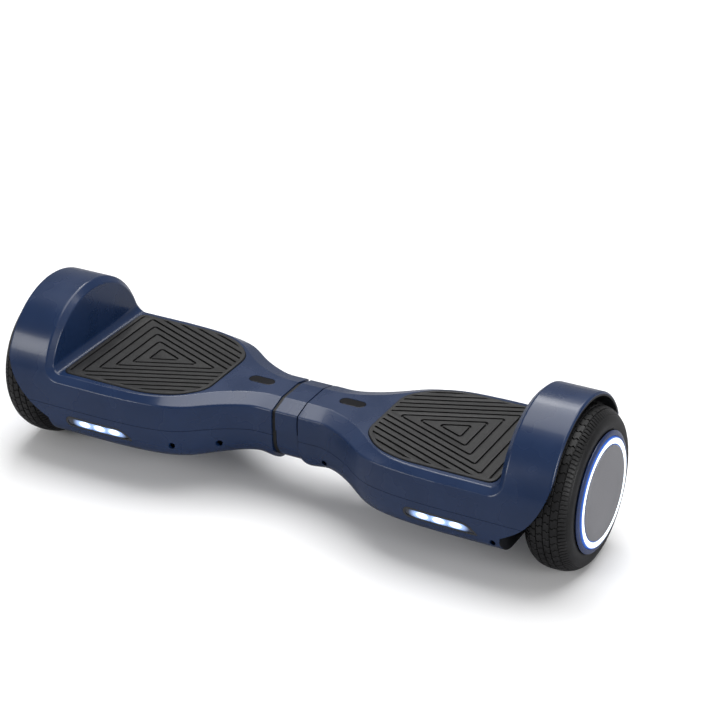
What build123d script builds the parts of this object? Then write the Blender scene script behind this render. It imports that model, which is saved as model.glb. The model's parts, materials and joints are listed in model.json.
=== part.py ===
from build123d import *
from math import asin, cos, sin
import os

os.makedirs("parts", exist_ok=True)

# Self balancing two-wheel board, in millimetres. +Z is up, the floor is Z = 0, the axles lie along X
# and -Y is the front, where the headlights are. Parts are drawn on the +X side and mirrored.

# Wheels
axle_height = 78.0
tyre_radius = 78.0
wheel_x = 283.5
bead_radius = 54.5
hub_ring_radius = 58.0
light_ring_radius = 52.4
disc_radius = 45.0
axle_radius = 8.0
bearing_radius = 13.0
running_clearance = 0.05
magnet_count = 20
tooth_count = 18

# Housing
deck_height = 104.0
parting_height = 72.5
parting_gap = 0.4
belly_height = 33.0
belly_round = 32.0
arch_radius = 84.5
arch_height = 84.0
wall = 3.0
fender_inner_x = 240.5
fender_outer_x = 291.5
fender_bevel = 5.8
ledge_round = 9.0
crease_round = 2.5
waist_end_x = 180.0
right_end_x = 12.2
left_end_x = 16.5
cavity_start_x = 19.5
cavity_end_x = 241.0
well_x = 245.0
well_radius = 80.5
arch_edge_round = 2.5

# Footpads and indicator windows
pad_top = 105.5
pad_thickness = 4.5
pad_inner_x = 87.0
pad_outer_x = 233.0
pad_half_width = 70.5
pad_corner = 8.0
pad_clearance = 0.4
pocket_floor = 99.0
pocket_plate = 2.5
post_places = [(130.0, 0.0), (175.0, 0.0)]
post_radius = 4.5
window_x = 50.0
window_y = 4.0
window_length = 27.0
window_width = 12.0

# Lamps and rear panel
lamp_x = 185.5
lamp_height = 59.0
lamp_length = 75.0
lamp_width = 12.0
lamp_frame = 2.0
panel_height = 60.0
panel_length = 74.0
panel_width = 18.0
panel_face_y = 80.0
button_x = 166.0
button_radius = 5.5
socket_x = 202.0
socket_radius = 7.5
socket_depth = 12.0
pin_length = 7.4

# Frame, pivot and collar
plate_bottom = 46.0
plate_top = 51.0
shaft_radius = 14.0
shaft_bore_radius = 10.5
bushing_radius = 17.0
shaft_end_x = 91.0
collar_left_x = -12.5
collar_right_x = 10.9
collar_split = 77.5
screw_seat = 38.0
belly_screws = [(80.0, 20.0), (80.0, -20.0), (105.0, 32.0), (105.0, -32.0)]
belly_screws += [(165.0, 44.0), (165.0, -44.0), (222.0, 44.0), (222.0, -44.0)]

clamp_bolt_places = [(223.0 + x, y) for x in (-9.0, 9.0) for y in (-16.0, 16.0)]

# Waist stations: X, half width of the sides, half width of the flat deck, belly height
waist_stations = [
    (34.0, 37.0, 17.0, 38.0),
    (50.0, 41.5, 21.5, 37.5),
    (65.0, 49.0, 28.5, 36.5),
    (80.0, 59.0, 38.5, 35.3),
    (95.0, 70.0, 51.5, 34.3),
    (110.0, 76.8, 63.0, 33.6),
    (130.0, 81.0, 71.5, 33.1),
    (155.0, 83.5, 75.2, 33.0),
]
neck = (36.5, 16.0, 38.0)
rim_angle = asin((deck_height - arch_height) / arch_radius)
edge_angle = rim_angle - 2 * asin(fender_bevel / 2 / arch_radius)
edge_height = arch_height + arch_radius * sin(edge_angle)
edge_draft = arch_radius * (1 - cos(edge_angle))
wide = (arch_radius, arch_radius * cos(rim_angle) - fender_bevel, belly_height)
axle_line = Axis((0, 0, axle_height), (1, 0, 0))
sides = {"right": 1, "left": -1}


def across(x, z=0.0):
    """Plane across the board at X, with its origin at height z."""
    return Plane(origin=(x, 0, z), x_dir=(0, 1, 0), z_dir=(1, 0, 0))


def section(x, half, top_half, belly, inset=0.0, crease=crease_round):
    """Closed cross section of the housing at X."""
    half = half - inset
    top_half = top_half - inset * 0.6
    belly = belly + inset
    rounding = min(belly_round - inset, half * 0.8)
    top = deck_height - inset
    edge = edge_height - inset * 0.8
    with BuildSketch(across(x)) as face:
        with BuildLine():
            Line((0, belly), (half - rounding, belly))
            JernArc((half - rounding, belly), (1, 0), rounding, 90)
            Line((half, belly + rounding), (half, arch_height))
            TangentArc((half, arch_height), (half - edge_draft, edge), tangent=(0, 1))
            Line((half - edge_draft, edge), (top_half, top))
            Line((top_half, top), (0, top))
            mirror(about=Plane.YZ)
        make_face()
        if crease:
            fillet(face.vertices().filter_by(lambda v: v.Y > edge - 0.01 and abs(v.X) > 1), crease)
    return face.sketch.faces()[0]


def tapered(start_x, **shape):
    """The waist from start_x to its last station, as one smooth loft."""
    stations = [(start_x, *neck)] + waist_stations + [(x, *wide) for x in (waist_end_x, 205, 230)]
    with BuildPart() as taper:
        loft(sections=[section(*station, **shape) for station in stations])
        split(bisect_by=Plane.YZ.offset(waist_stations[-1][0]), keep=Keep.BOTTOM)
    return taper.part


def mirrored(part):
    """The same piece for the left half."""
    with BuildPart() as copy:
        add(part)
        mirror(about=Plane.YZ, mode=Mode.REPLACE)
    return copy.part


def save(part, name):
    part.label = name
    export_step(part, f"parts/{name}.step")


def save_pair(part, name):
    save(part, f"right_{name}")
    save(mirrored(part), f"left_{name}")


def pad_outline(grow=0.0):
    """Footpad outline: straight at the fender, round towards the waist."""
    with BuildSketch() as outline:
        with BuildLine():
            Polyline((pad_inner_x, 0), (pad_inner_x, 38), (108, 60.5), (138, pad_half_width),
                     (pad_outer_x, pad_half_width), (pad_outer_x, 0))
            mirror(about=Plane.XZ)
        make_face()
        for corner_x, rounding in ((pad_inner_x, 30), (108, 55), (138, 90), (pad_outer_x, pad_corner)):
            fillet(outline.vertices().filter_by_position(Axis.X, corner_x - 0.1, corner_x + 0.1), rounding)
        if grow:
            offset(amount=grow)
    return outline.sketch


def lamp_outline(center_x, shrink=0.0):
    """Headlight outline: round at one end, swept to a low point at the other."""
    radius = lamp_width / 2
    with BuildSketch() as outline:
        with BuildLine():
            top = Line((radius - lamp_length / 2, radius), (20, radius))
            nose = TangentArc(top @ 1, (lamp_length / 2, 1.5 - radius), tangent=(1, 0))
            tip = Line(nose @ 1, (lamp_length / 2 - 1.5, -radius))
            base = Line(tip @ 1, (radius - lamp_length / 2, -radius))
            ThreePointArc(base @ 1, (-lamp_length / 2, 0), top @ 0)
        make_face()
        if shrink:
            offset(amount=-shrink)
    return Pos(center_x, lamp_height, 0) * outline.sketch


def turned(points):
    """Solid of revolution about the axle line, from (X, radius) points."""
    with BuildPart() as body:
        with BuildSketch(Plane.XZ):
            with BuildLine():
                Polyline([(x, radius + axle_height) for x, radius in points], close=True)
            make_face()
        revolve(axis=axle_line)
    return body.part


# Outer form of one half: arch and wide deck, bevelled edges, then the waist lofted from its end
with BuildPart() as outer:
    with BuildSketch(across(waist_end_x)):
        with BuildLine():
            Line((0, belly_height), (arch_radius - belly_round, belly_height))
            JernArc((arch_radius - belly_round, belly_height), (1, 0), belly_round, 90)
            Line((arch_radius, belly_height + belly_round), (arch_radius, arch_height))
            JernArc((arch_radius, arch_height), (0, 1), arch_radius, 90)
            mirror(about=Plane.YZ)
        make_face()
    extrude(amount=fender_outer_x - waist_end_x)
    with BuildSketch(Plane.XY.offset(deck_height)):
        with Locations((waist_end_x, 0)):
            Rectangle(fender_inner_x - waist_end_x, 3 * arch_radius, align=(Align.MIN, Align.CENTER))
    extrude(amount=arch_radius, mode=Mode.SUBTRACT)
    fillet(outer.edges().filter_by(Axis.Y).filter_by_position(Axis.Z, deck_height - 1, deck_height + 1)
           .sort_by(Axis.X)[-1], ledge_round)
    deck_rim = outer.edges().filter_by(
        lambda e: e.center().Z > deck_height - 1 and e.bounding_box().max.X < fender_inner_x + 1
        and (e.bounding_box().size.Y < 40 or e.bounding_box().size.Z > 20))
    chamfer(deck_rim, length=fender_bevel)
    low_crease = outer.edges().filter_by(
        lambda e: (e.bounding_box().size.Y < 0.01 and e.bounding_box().size.X > 40
                   and 97 < e.center().Z < 100)
        or (fender_inner_x + 1 < e.center().X < fender_inner_x + fender_bevel + 1
            and e.center().Z > 100 and abs(abs(e.center().Y) - 82.2) < 0.5)
        or (abs(e.center().X - fender_inner_x - fender_bevel) < 0.1 and e.bounding_box().size.Z > 40
            and e.bounding_box().size.X < 0.1))
    fillet(low_crease, crease_round)
    high_crease = outer.edges().filter_by(
        lambda e: (e.bounding_box().size.X > 40 and abs(e.center().Z - deck_height) < 0.05)
        or (e.center().X < fender_inner_x and abs(abs(e.center().Y) - 75.44) < 0.2
            and 105 < e.center().Z < 108)
        or (abs(e.center().X - fender_inner_x) < 0.1 and e.bounding_box().size.Z > 40
            and e.bounding_box().size.X < 0.1))
    fillet(high_crease, crease_round)

    fillet(outer.faces().sort_by(Axis.X)[-1].edges().filter_by(lambda e: e.center().Z > arch_height),
           arch_edge_round)

deck_end = outer.faces().sort_by(Axis.X)[0]

with BuildPart() as waist:
    add(tapered(right_end_x))
    loft(sections=[waist.faces().sort_by(Axis.X)[-1], deck_end], ruled=True)

with BuildPart() as form:
    add(outer.part)
    add(waist.part)

with BuildPart() as cavity:
    add(tapered(cavity_start_x, inset=wall, crease=0))
    wide_hollow = [section(x, *wide, inset=wall, crease=0) for x in (waist_end_x, cavity_end_x)]
    loft(sections=[cavity.faces().sort_by(Axis.X)[-1], wide_hollow[0]], ruled=True)
    loft(sections=wide_hollow, ruled=True)

# Wheel well, and the swept lower edge of the arch
with BuildPart() as well:
    with BuildSketch(across(well_x, arch_height)):
        Circle(well_radius)
        with Locations((0, -arch_height / 2)):
            Rectangle(2 * well_radius, arch_height)
    extrude(amount=60)
    with BuildSketch(Plane.XZ.offset(-1.5 * arch_radius)):
        with BuildLine():
            lip = Spline((fender_outer_x, 128), (fender_outer_x - 4.5, 105), (fender_outer_x - 13, 87),
                         (fender_outer_x - 26, 71), (well_x, 57), tangents=[(0, -1), (-1, -0.65)])
            Polyline(lip @ 1, (well_x, 0), (300, 0), (300, 128), lip @ 0)
        make_face()
    extrude(amount=3 * arch_radius)

with BuildPart() as housing:
    add(form.part)
    add(cavity.part, mode=Mode.SUBTRACT)
    add(well.part, mode=Mode.SUBTRACT)
    with BuildSketch(across(right_end_x - 1, axle_height)):
        Circle(shaft_radius + 1.5)
    extrude(amount=cavity_start_x - right_end_x + 2, mode=Mode.SUBTRACT)
    with BuildSketch(across(cavity_end_x - 1, axle_height)):
        Circle(axle_radius + 1.5)
    extrude(amount=well_x - cavity_end_x + 2, mode=Mode.SUBTRACT)

with BuildPart() as upper_shell:
    add(housing.part)
    split(bisect_by=Plane.XY.offset(parting_height + parting_gap / 2), keep=Keep.TOP)
    with BuildSketch(Plane.XY.offset(pocket_floor - pocket_plate)):
        add(pad_outline(pad_clearance + wall - 0.6))
    extrude(amount=deck_height - pocket_floor + pocket_plate - 0.5)
    with BuildSketch(Plane.XY.offset(pocket_floor)):
        add(pad_outline(pad_clearance))
    extrude(amount=20, mode=Mode.SUBTRACT)
    with BuildSketch(Plane.XY.offset(pocket_floor)):
        with Locations(post_places):
            Circle(post_radius + 2)
    extrude(amount=-2 * pocket_plate, mode=Mode.SUBTRACT)
    with BuildSketch(Plane.XY.offset(deck_height)):
        with Locations((window_x, window_y)):
            SlotOverall(window_length + 0.5, window_width + 0.5)
    extrude(amount=-2 * wall, mode=Mode.SUBTRACT)

with BuildPart() as lower_shell:
    add(housing.part)
    split(bisect_by=Plane.XY.offset(parting_height - parting_gap / 2), keep=Keep.BOTTOM)
    with BuildSketch(Plane.XY.offset(plate_bottom)):
        with Locations(belly_screws):
            Circle(5.5)
    extrude(amount=belly_height + 2 - plate_bottom)
    with BuildSketch(Plane.XY.offset(plate_bottom)):
        with Locations(belly_screws):
            Circle(2.2)
    extrude(amount=-20, mode=Mode.SUBTRACT)
    with BuildSketch(Plane.XY.offset(screw_seat)):
        with Locations(belly_screws):
            Circle(4.2)
    extrude(amount=-7, mode=Mode.SUBTRACT)

# Openings that differ between the halves: screw wells in the front, lamp, rear panel, left end
front_wells = {"right": [(39.0, 54.5), (237.0, 49.0)], "left": [(-69.0, 55.5), (-107.0, 55.5)]}
for side, sign in sides.items():
    lamp_center = sign * lamp_x
    with BuildPart() as upper:
        add(upper_shell.part if sign > 0 else mirrored(upper_shell.part))
        if sign < 0:
            with Locations((-left_end_x, 0, deck_height)):
                Box(30, 200, 200, align=(Align.MIN, Align.CENTER, Align.CENTER), mode=Mode.SUBTRACT)
    save(upper.part, f"{side}_upper_shell")

    with BuildPart() as lower:
        add(lower_shell.part if sign > 0 else mirrored(lower_shell.part))
        if sign < 0:
            with Locations((-left_end_x, 0, deck_height)):
                Box(30, 200, 200, align=(Align.MIN, Align.CENTER, Align.CENTER), mode=Mode.SUBTRACT)
        with BuildSketch(Plane.XZ.offset(arch_radius + 5)):
            add(lamp_outline(lamp_center, -0.2))
        extrude(amount=-20, mode=Mode.SUBTRACT)
        with BuildSketch(Plane.XZ.offset(arch_radius + 5)):
            with Locations(front_wells[side]):
                SlotOverall(8.0, 5.4, rotation=70)
        extrude(amount=-70, mode=Mode.SUBTRACT)
        if sign > 0:
            with BuildSketch(Plane.XZ.offset(-arch_radius - 5)):
                with Locations((lamp_x, panel_height)):
                    SlotOverall(panel_length + 0.4, panel_width + 0.4)
            extrude(amount=20, mode=Mode.SUBTRACT)
    save(lower.part, f"{side}_lower_shell")

    # Headlight: dark frame and clear lens, both flush with the housing
    with BuildPart() as lamp_bezel:
        with BuildSketch(Plane.XZ.offset(arch_radius + 2)):
            add(lamp_outline(lamp_center))
            add(lamp_outline(lamp_center, lamp_frame), mode=Mode.SUBTRACT)
        extrude(amount=-9.5)
        add(form.part if sign > 0 else mirrored(form.part), mode=Mode.INTERSECT)
    save(lamp_bezel.part, f"{side}_light_bezel")
    lens_form = Pos(0, 0.6, 0) * (form.part if sign > 0 else mirrored(form.part))
    with BuildPart() as lamp_lens:
        with BuildSketch(Plane.XZ.offset(arch_radius + 2)):
            add(lamp_outline(lamp_center, lamp_frame))
        extrude(amount=-5)
        add(lens_form, mode=Mode.INTERSECT)
    save(lamp_lens.part, f"{side}_light_lens")
    with BuildPart() as led_board:
        with BuildSketch(Plane.XZ.offset(arch_radius - 7.5)):
            add(lamp_outline(lamp_center, 0.3))
        extrude(amount=-1.6)
        with BuildSketch(Plane.XZ.offset(arch_radius - 7.5)):
            with Locations([(lamp_center + step - 3, lamp_height) for step in (-21, 0, 21)]):
                Circle(2.6)
        extrude(amount=2)
    save(led_board.part, f"{side}_led_board")

# Frame: cast tray with ribs, the saddle for the axle and the barrel of the centre pivot
with BuildPart() as frame_body:
    with BuildSketch(Plane.XY.offset(plate_bottom)):
        with BuildLine():
            Polyline((22, 0), (22, 18), (58, 18), (102, 58), (238, 58), (238, 0))
            mirror(about=Plane.XZ)
        make_face()
    extrude(amount=plate_top - plate_bottom)
    with Locations((171, 55, plate_top), (171, -55, plate_top)):
        Box(134, 5, 16, align=(Align.CENTER, Align.CENTER, Align.MIN))
    with Locations((223, 0, plate_top)):
        Box(30, 44, axle_height - plate_top, align=(Align.CENTER, Align.CENTER, Align.MIN))
    with BuildSketch(across(22, axle_height)):
        Circle(21)
        with Locations((0, -16)):
            Rectangle(28, 22)
    extrude(amount=62)
    with BuildSketch(across(200, axle_height)):
        Circle(axle_radius)
    extrude(amount=50, mode=Mode.SUBTRACT)
    with BuildSketch(Plane.XY.offset(plate_bottom)):
        with Locations(belly_screws):
            Circle(2.1)
    extrude(amount=plate_top - plate_bottom, mode=Mode.SUBTRACT)
    with BuildSketch(Plane.XY.offset(axle_height)):
        with Locations(clamp_bolt_places):
            Circle(3)
    extrude(amount=-20, mode=Mode.SUBTRACT)
for side, sign in sides.items():
    bore = shaft_radius if sign > 0 else bushing_radius
    with BuildPart() as frame:
        add(frame_body.part if sign > 0 else mirrored(frame_body.part))
        with BuildSketch(across(sign * 53, axle_height)):
            Circle(bore)
        extrude(amount=40, both=True, mode=Mode.SUBTRACT)
    save(frame.part, f"{side}_frame")

with BuildPart() as axle_clamp:
    with Locations((223, 0, axle_height + 0.3)):
        Box(28, 44, 10.7, align=(Align.CENTER, Align.CENTER, Align.MIN))
    with BuildSketch(across(200, axle_height)):
        Circle(axle_radius)
    extrude(amount=50, mode=Mode.SUBTRACT)
    with BuildSketch(Plane.XY.offset(axle_height)):
        with Locations(clamp_bolt_places):
            Circle(3)
    extrude(amount=20, mode=Mode.SUBTRACT)
save_pair(axle_clamp.part, "axle_clamp")

with BuildPart() as clamp_bolts:
    with BuildSketch(Plane.XY.offset(axle_height - 19)):
        with Locations(clamp_bolt_places):
            Circle(3)
    extrude(amount=30)
    with BuildSketch(Plane.XY.offset(axle_height + 11)):
        with Locations(clamp_bolt_places):
            Circle(5)
    extrude(amount=4.5)
    with BuildSketch(Plane.XY.offset(axle_height + 15.5)):
        with Locations(clamp_bolt_places):
            RegularPolygon(2.8, 6)
    extrude(amount=-3, mode=Mode.SUBTRACT)
save_pair(clamp_bolts.part, "clamp_bolts")

with BuildPart() as shell_screws:
    for x, y in belly_screws:
        with BuildSketch(Plane.XY.offset(screw_seat)):
            with Locations((x, y)):
                Circle(3.8)
        extrude(amount=-2.4)
        with BuildSketch(Plane.XY.offset(screw_seat)):
            with Locations((x, y)):
                Circle(2.0)
        extrude(amount=plate_top - belly_height - 5.2)
        with BuildSketch(Plane.XY.offset(screw_seat - 2.4)):
            with Locations((x, y)):
                Rectangle(4.6, 1.0)
                Rectangle(1.0, 4.6)
        extrude(amount=1.2, mode=Mode.SUBTRACT)
save_pair(shell_screws.part, "shell_screws")

# Hub motor: axle, stator and coils stay with the half; drum, magnets and tyre turn
with BuildPart() as axle:
    with BuildSketch(across(208, axle_height)):
        Circle(axle_radius)
    extrude(amount=91)
    chamfer(axle.edges().group_by(Axis.X)[-1], 1)
    with BuildSketch(across(208, axle_height)):
        Circle(2.5)
    extrude(amount=70, mode=Mode.SUBTRACT)
save_pair(axle.part, "axle")

with BuildPart() as stator:
    with BuildSketch(across(wheel_x - 17.5, axle_height)):
        Circle(46.3)
        Circle(43.5, mode=Mode.SUBTRACT)
        Circle(27)
        with PolarLocations(35.5, tooth_count):
            Rectangle(19, 5)
        with PolarLocations(45.3, tooth_count, start_angle=180 / tooth_count):
            Rectangle(5, 2.5, mode=Mode.SUBTRACT)
        Circle(axle_radius, mode=Mode.SUBTRACT)
    extrude(amount=23)
save_pair(stator.part, "stator")

with BuildPart() as coils:
    with BuildSketch(across(wheel_x - 19.5, axle_height)):
        with PolarLocations(35.5, tooth_count):
            Rectangle(13, 8.4)
    extrude(amount=27)
    with BuildSketch(across(wheel_x - 17.5, axle_height)):
        with PolarLocations(35.5, tooth_count):
            Rectangle(20, 5)
    extrude(amount=23, mode=Mode.SUBTRACT)
save_pair(coils.part, "coils")

hub_shell = turned([(262.5, 50.5), (262.5, bead_radius), (303, bead_radius), (303, bearing_radius),
                    (290, bearing_radius), (290, 17), (299, 17), (299, 50.5)])
save_pair(hub_shell, "hub_shell")

with BuildPart() as motor_cover:
    add(turned([(251, bearing_radius), (251, 17), (258.8, 17), (258.8, 54), (262.5, 54),
                (262.5, bearing_radius)]))
    with BuildSketch(across(258.8, axle_height)):
        with PolarLocations(52.2, 6):
            Circle(1.1)
    extrude(amount=5, mode=Mode.SUBTRACT)
save_pair(motor_cover.part, "motor_cover")

with BuildPart() as cover_screws:
    with BuildSketch(across(258.8, axle_height)):
        with PolarLocations(52.2, 6):
            Circle(1.1)
    extrude(amount=3.7)
    with BuildSketch(across(258.8, axle_height)):
        with PolarLocations(52.2, 6):
            Circle(1.75)
    extrude(amount=-1.3)
save_pair(cover_screws.part, "cover_screws")

with BuildPart() as magnets:
    with BuildSketch(across(wheel_x - 17.5, axle_height)):
        with PolarLocations(48.6, magnet_count):
            Rectangle(2.2, 12.4)
    extrude(amount=23)
save_pair(magnets.part, "magnets")

with BuildPart() as wheel_bearings:
    for start_x in (251.5, 291.0):
        with BuildSketch(across(start_x, axle_height)):
            Circle(bearing_radius)
            Circle(axle_radius + running_clearance, mode=Mode.SUBTRACT)
        extrude(amount=7)
save_pair(wheel_bearings.part, "wheel_bearings")

with BuildPart() as tyre:
    with BuildSketch(Plane.XZ):
        with BuildLine():
            bead = Line((262.8, axle_height + bead_radius), (304.2, axle_height + bead_radius))
            outer_wall = Spline(bead @ 1, (306.1, axle_height + 57.5), (308.6, axle_height + 64.5),
                                (306.2, axle_height + 70.8), (299.4, axle_height + 75.6),
                                (wheel_x, axle_height + tyre_radius), tangents=[(1, 1), (-1, 0)])
            mirror(outer_wall, about=Plane.YZ.offset(wheel_x))
        make_face()
    revolve(axis=axle_line)
save_pair(tyre.part, "tyre")

with BuildPart() as rim_ring:
    add(turned([(303.4, light_ring_radius + 0.2), (309.2, light_ring_radius + 0.2), (309.2, 54.5),
                (307.6, hub_ring_radius), (306.8, hub_ring_radius), (306.6, bead_radius),
                (303.4, bead_radius)]))
save_pair(rim_ring.part, "rim_ring")

light_ring = turned([(303, disc_radius + 0.3), (303, light_ring_radius), (309.8, light_ring_radius),
                     (310.6, 50.5), (310.6, 47), (310.2, disc_radius + 0.3)])
save_pair(light_ring, "light_ring")

hub_disc = turned([(303, 40), (303, disc_radius), (310.9, disc_radius), (311.5, 44), (311.5, 0),
                   (308.5, 0), (308.5, 40)])
save_pair(hub_disc, "hub_disc")

# Footpad with the posts that press the light gates under the deck
with BuildPart() as footpad:
    with BuildSketch(Plane.XY.offset(pad_top)):
        add(pad_outline())
    extrude(amount=-pad_thickness)
    fillet(footpad.faces().sort_by(Axis.Z)[-1].edges(), 1.2)
    with BuildSketch(Plane.XY.offset(pad_top - pad_thickness)):
        with Locations(post_places):
            Circle(post_radius)
    extrude(amount=-9)
save_pair(footpad.part, "footpad")

with BuildPart() as sensor_board:
    with Locations((152, 0, 86)):
        Box(76, 44, 1.6, align=(Align.CENTER, Align.CENTER, Align.MIN))
    with Locations([(x, y, 87.6) for x, y in post_places]):
        Box(12, 10, 2.2, align=(Align.CENTER, Align.CENTER, Align.MIN))
    with BuildSketch(Plane.XY.offset(87.6)):
        with Locations([(x, y) for x in (118, 186) for y in (-18, 18)]):
            Circle(3)
    extrude(amount=pocket_floor - pocket_plate - 87.6)
save_pair(sensor_board.part, "sensor_board")

with BuildPart() as indicator_window:
    with BuildSketch(Plane.XY.offset(deck_height - wall - 1.5)):
        with Locations((window_x, window_y)):
            SlotOverall(window_length + 3.5, window_width + 3.5)
    extrude(amount=1.5)
    with BuildSketch(Plane.XY.offset(deck_height - wall)):
        with Locations((window_x, window_y)):
            SlotOverall(window_length, window_width)
    extrude(amount=wall)
    fillet(indicator_window.faces().sort_by(Axis.Z)[-1].edges(), 0.6)
save_pair(indicator_window.part, "indicator_window")

# Centre pivot: a tube fixed in the right frame turns in two bushings in the left one
with BuildPart() as center_shaft:
    with BuildSketch(across(-shaft_end_x, axle_height)):
        Circle(shaft_radius)
        Circle(shaft_bore_radius, mode=Mode.SUBTRACT)
    extrude(amount=shaft_end_x + 80)
    chamfer(center_shaft.edges().filter_by(GeomType.CIRCLE).group_by(Axis.X)[0], 0.8)
save(center_shaft.part, "center_shaft")

with BuildPart() as pivot_bushings:
    for inner_x, flange_x, step in ((-84.0, -85.5, 1.5), (-22.0, -20.5, -1.5)):
        with BuildSketch(across(inner_x, axle_height)):
            Circle(bushing_radius)
            Circle(shaft_radius + running_clearance, mode=Mode.SUBTRACT)
        extrude(amount=18 if step > 0 else -18)
        with BuildSketch(across(flange_x, axle_height)):
            Circle(bushing_radius + 1)
            Circle(shaft_radius + running_clearance, mode=Mode.SUBTRACT)
        extrude(amount=step)
save(pivot_bushings.part, "pivot_bushings")

with BuildPart() as retaining_ring:
    with BuildSketch(across(-88, axle_height)):
        Circle(shaft_radius + 4)
        Circle(shaft_radius, mode=Mode.SUBTRACT)
        with Locations((0, -shaft_radius - 2)):
            Rectangle(7, 6, mode=Mode.SUBTRACT)
    extrude(amount=1.8)
save(retaining_ring.part, "retaining_ring")

with BuildPart() as center_seal:
    loft(sections=[section(-left_end_x, *neck, inset=1.6), section(-13.2, *neck, inset=2.2)])
    with BuildSketch(across(-20, axle_height)):
        Circle(shaft_radius + 0.4)
    extrude(amount=12, mode=Mode.SUBTRACT)
save(center_seal.part, "center_seal")

# Collar: an upper and a lower cover that hide the gap between the halves
with BuildPart() as collar_upper:
    loft(sections=[section(collar_left_x, *neck), section(collar_right_x, *neck)])
    loft(sections=[section(collar_left_x - 1, *neck, inset=3.5, crease=0),
                   section(collar_right_x - 3, *neck, inset=3.5, crease=0)], mode=Mode.SUBTRACT)
    with BuildSketch(across(0, axle_height)):
        Circle(shaft_radius)
    extrude(amount=20, mode=Mode.SUBTRACT)
    split(bisect_by=Plane.XY.offset(collar_split + 0.8), keep=Keep.TOP)
save(collar_upper.part, "collar_upper")

with BuildPart() as collar_lower:
    loft(sections=[section(collar_left_x, *neck, inset=1.8), section(collar_right_x, *neck, inset=1.8)])
    loft(sections=[section(collar_left_x - 1, *neck, inset=4.8, crease=0),
                   section(collar_right_x - 3, *neck, inset=4.8, crease=0)], mode=Mode.SUBTRACT)
    with BuildSketch(across(0, axle_height)):
        Circle(shaft_radius)
    extrude(amount=20, mode=Mode.SUBTRACT)
    split(bisect_by=Plane.XY.offset(collar_split), keep=Keep.BOTTOM)
save(collar_lower.part, "collar_lower")

# Electrics: battery pack in the right half, control board in the left
with BuildPart() as battery_pack:
    with Locations((150, 0, plate_top)):
        Box(92, 96, 32, align=(Align.CENTER, Align.CENTER, Align.MIN))
    fillet(battery_pack.edges().filter_by(Axis.Z), 6)
save(battery_pack.part, "battery_pack")

with BuildPart() as main_board:
    with Locations([(x, y, plate_top) for x in (-108, -192) for y in (-38, 38)]):
        Cylinder(3.5, 5, align=(Align.CENTER, Align.CENTER, Align.MIN))
    with Locations((-150, 0, plate_top + 5)):
        Box(96, 88, 1.6, align=(Align.CENTER, Align.CENTER, Align.MIN))
    with Locations((-150, -26, plate_top + 6.6)):
        Box(80, 14, 12, align=(Align.CENTER, Align.CENTER, Align.MIN))
    with Locations((-128, 20, plate_top + 6.6), (-146, 20, plate_top + 6.6)):
        Cylinder(6.5, 20, align=(Align.CENTER, Align.CENTER, Align.MIN))
    with Locations((-174, 22, plate_top + 6.6)):
        Box(18, 12, 8, align=(Align.CENTER, Align.CENTER, Align.MIN))
save(main_board.part, "main_board")

# Rear panel of the right half: power button, charging socket and its hinged cap
with BuildPart() as rear_panel:
    with BuildSketch(Plane.XZ.offset(-panel_face_y)):
        with Locations((lamp_x, panel_height)):
            SlotOverall(panel_length, panel_width)
        with Locations((button_x, panel_height)):
            Circle(button_radius + 0.3, mode=Mode.SUBTRACT)
        with Locations((socket_x, panel_height)):
            Circle(socket_radius, mode=Mode.SUBTRACT)
    extrude(amount=4)
save(rear_panel.part, "rear_panel")

with BuildPart() as power_button:
    with BuildSketch(Plane.XZ.offset(-panel_face_y - 2.2)):
        with Locations((button_x, panel_height)):
            Circle(button_radius)
    extrude(amount=7)
    fillet(power_button.edges().group_by(Axis.Y)[-1], 0.8)
save(power_button.part, "power_button")

with BuildPart() as charge_socket:
    with BuildSketch(Plane.XZ.offset(-panel_face_y)):
        with Locations((socket_x, panel_height)):
            Circle(socket_radius)
    extrude(amount=socket_depth + 4)
    with BuildSketch(Plane.XZ.offset(-panel_face_y)):
        with Locations((socket_x, panel_height)):
            Circle(5.8)
    extrude(amount=socket_depth, mode=Mode.SUBTRACT)
    with BuildSketch(Plane.XZ.offset(-panel_face_y + socket_depth)):
        with Locations((socket_x, panel_height)):
            with PolarLocations(2.8, 3):
                Circle(0.9)
    extrude(amount=-pin_length)
save(charge_socket.part, "charge_socket")

with BuildPart() as charge_cap:
    with BuildSketch(Plane.XZ.offset(-panel_face_y - 1.9)):
        with Locations((socket_x, panel_height)):
            Circle(8.2)
        with Locations((socket_x - 8.4, panel_height)):
            Rectangle(3, 6)
    extrude(amount=1.7)
    with BuildSketch(Plane.XY.offset(panel_height - 4)):
        with Locations((socket_x - 10, panel_face_y + 1.15)):
            Circle(0.95)
    extrude(amount=8)
save(charge_cap.part, "charge_cap")
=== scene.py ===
import json
import math
import bpy
import bmesh
from mathutils import Matrix, Vector


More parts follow.
